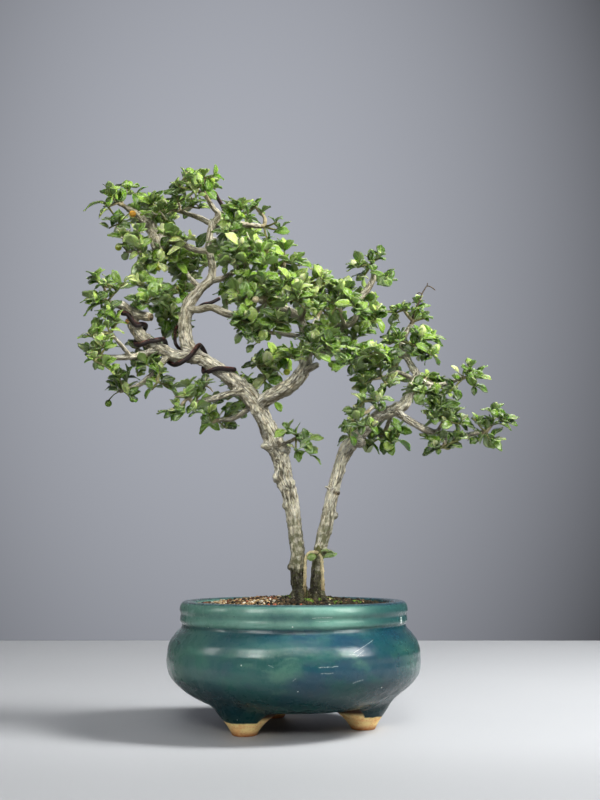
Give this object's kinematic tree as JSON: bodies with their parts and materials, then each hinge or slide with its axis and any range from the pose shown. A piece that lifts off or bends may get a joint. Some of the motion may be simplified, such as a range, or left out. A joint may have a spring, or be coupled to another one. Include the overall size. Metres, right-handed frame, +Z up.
{
  "type": "fukien tea bonsai",
  "caption": "Fukien tea bonsai with leaning trunks, wired limbs, small glossy leaves and berries, in a round glazed pot on feet.",
  "frame": {"origin": "middle of the whole part's bounding box, at ground level under the feet", "axes": "+Z up the tree, +X to the viewer's right, -Y towards the viewer of the front"},
  "size_m": [0.3388, 0.2, 0.4535],
  "materials": {
    "glaze": "gloss",
    "drain_mesh": "matte",
    "soil": "matte",
    "bark": "matte",
    "wire": "satin",
    "leaves": "satin"
  },
  "bodies": {
    "root": {"coil_wire": "wire", "drain_mesh": "drain_mesh", "pot": "glaze", "soil": "soil", "spray_arm": "leaves", "spray_arm_low": "leaves", "spray_back_low": "leaves", "spray_back_mid": "leaves", "spray_back_top": "leaves", "spray_belly": "leaves", "spray_branch_low": "leaves", "spray_brow": "leaves", "spray_cheek": "leaves", "spray_cheek_low": "leaves", "spray_cheek_right": "leaves", "spray_claw": "leaves", "spray_collar": "leaves", "spray_collar_back": "leaves", "spray_crown": "leaves", "spray_droop": "leaves", "spray_droop_mid": "leaves", "spray_eaves": "leaves", "spray_elbow": "leaves", "spray_elbow_back": "leaves", "spray_fan": "leaves", "spray_far_low": "leaves", "spray_far_right": "leaves", "spray_foot_leaf": "leaves", "spray_front_low": "leaves", "spray_hang": "leaves", "spray_inner": "leaves", "spray_knot_top": "leaves", "spray_leader_left": "leaves", "spray_left_end": "leaves", "spray_left_mid": "leaves", "spray_left_top": "leaves", "spray_nook": "leaves", "spray_pocket": "leaves", "spray_pocket_left": "leaves", "spray_right_end": "leaves", "spray_right_pad": "leaves", "spray_roof": "leaves", "spray_shelf": "leaves", "spray_shelf_low": "leaves", "spray_shelf_mid": "leaves", "spray_shoulder": "leaves", "spray_spire": "leaves", "spray_tip_left": "leaves", "spray_tower": "leaves", "spray_tower_mid": "leaves", "spray_trunk": "leaves", "spray_tuft_top": "leaves", "tie_wire": "wire", "wood": "bark"}
  },
  "joints": []
}
